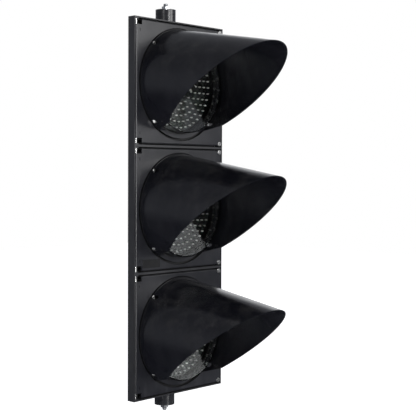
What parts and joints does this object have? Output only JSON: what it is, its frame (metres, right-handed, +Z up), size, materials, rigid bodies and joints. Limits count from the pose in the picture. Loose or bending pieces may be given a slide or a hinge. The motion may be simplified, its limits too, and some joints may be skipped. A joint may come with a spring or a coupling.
{
  "type": "traffic signal head",
  "caption": "Vertical traffic signal head with hinged lens doors, clear-covered LED light units, cut-away tube visors and serrated mounting collars.",
  "frame": {"origin": "centre of the lower collar's serrated end, on the vertical mounting axis", "axes": "+Z up along the mounting axis, the lenses face -Y, the door hinges are on the -X side"},
  "size_m": [0.27, 0.3695, 0.901],
  "materials": {
    "housing_black": "moulded black polycarbonate, fine satin grain",
    "door_gloss": "moulded black polycarbonate, polished",
    "visor_satin": "black polycarbonate, satin outside, dull inside",
    "lens_clear": "clear polycarbonate cover, polished rim",
    "board_green": "dark green solder resist",
    "case_grey": "moulded grey plastic",
    "rubber_black": "dull moulded rubber",
    "stainless": "plain stainless steel",
    "zinc_plate": "bright zinc plate",
    "collar_gloss": "moulded black plastic, semi-gloss",
    "gland_black": "moulded black nylon",
    "label_white": "blank metallised label"
  },
  "bodies": {
    "housing": {"housing": "housing_black", "front_frame": "housing_black", "top_hinge_pins": "stainless", "middle_hinge_pins": "stainless", "bottom_hinge_pins": "stainless", "latch_keepers": "zinc_plate", "terminal_block": "case_grey", "cable_gland": "gland_black", "upper_collar": "collar_gloss", "upper_stud": "zinc_plate", "upper_nuts": "zinc_plate", "upper_washer": "zinc_plate", "upper_backing_plate": "zinc_plate", "lower_collar": "collar_gloss", "lower_stud": "zinc_plate", "lower_nuts": "zinc_plate", "lower_washer": "zinc_plate", "lower_backing_plate": "zinc_plate"},
    "top_door": {"top_door": "door_gloss", "top_door_seal": "rubber_black", "top_visor": "visor_satin", "top_visor_screws": "stainless", "top_lens": "lens_clear", "top_lens_seal": "rubber_black", "top_led_board": "board_green", "top_module_case": "case_grey", "top_module_screws": "stainless", "top_driver_board": "board_green"},
    "top_latch_upper": {"top_latch_upper": "stainless"},
    "top_latch_lower": {"top_latch_lower": "stainless"},
    "middle_door": {"middle_door": "door_gloss", "middle_door_seal": "rubber_black", "middle_visor": "visor_satin", "middle_visor_screws": "stainless", "middle_lens": "lens_clear", "middle_lens_seal": "rubber_black", "middle_led_board": "board_green", "middle_module_case": "case_grey", "middle_module_screws": "stainless", "middle_driver_board": "board_green", "blank_label": "label_white"},
    "middle_latch_upper": {"middle_latch_upper": "stainless"},
    "middle_latch_lower": {"middle_latch_lower": "stainless"},
    "bottom_door": {"bottom_door": "door_gloss", "bottom_door_seal": "rubber_black", "bottom_visor": "visor_satin", "bottom_visor_screws": "stainless", "bottom_lens": "lens_clear", "bottom_lens_seal": "rubber_black", "bottom_led_board": "board_green", "bottom_module_case": "case_grey", "bottom_module_screws": "stainless", "bottom_driver_board": "board_green"},
    "bottom_latch_upper": {"bottom_latch_upper": "stainless"},
    "bottom_latch_lower": {"bottom_latch_lower": "stainless"}
  },
  "joints": [
    {"name": "top_door_hinge", "type": "hinge", "parent": "housing", "child": "top_door", "pos_m": [-0.1277, -0.0425, 0.707], "axis": [0, 0, -1], "range_deg": [0, 95]},
    {"name": "top_latch_upper_turn", "type": "hinge", "parent": "top_door", "child": "top_latch_upper", "pos_m": [0.1265, -0.037, 0.8325], "axis": [0, -1, 0], "range_deg": [0, 90]},
    {"name": "top_latch_lower_turn", "type": "hinge", "parent": "top_door", "child": "top_latch_lower", "pos_m": [0.1265, -0.037, 0.5815], "axis": [0, 1, 0], "range_deg": [0, 90]},
    {"name": "middle_door_hinge", "type": "hinge", "parent": "housing", "child": "middle_door", "pos_m": [-0.1277, -0.0425, 0.437], "axis": [0, 0, -1], "range_deg": [0, 95]},
    {"name": "middle_latch_upper_turn", "type": "hinge", "parent": "middle_door", "child": "middle_latch_upper", "pos_m": [0.1265, -0.037, 0.5625], "axis": [0, -1, 0], "range_deg": [0, 90]},
    {"name": "middle_latch_lower_turn", "type": "hinge", "parent": "middle_door", "child": "middle_latch_lower", "pos_m": [0.1265, -0.037, 0.3115], "axis": [0, 1, 0], "range_deg": [0, 90]},
    {"name": "bottom_door_hinge", "type": "hinge", "parent": "housing", "child": "bottom_door", "pos_m": [-0.1277, -0.0425, 0.167], "axis": [0, 0, -1], "range_deg": [0, 95]},
    {"name": "bottom_latch_upper_turn", "type": "hinge", "parent": "bottom_door", "child": "bottom_latch_upper", "pos_m": [0.1265, -0.037, 0.2925], "axis": [0, -1, 0], "range_deg": [0, 90]},
    {"name": "bottom_latch_lower_turn", "type": "hinge", "parent": "bottom_door", "child": "bottom_latch_lower", "pos_m": [0.1265, -0.037, 0.0415], "axis": [0, 1, 0], "range_deg": [0, 90]}
  ]
}
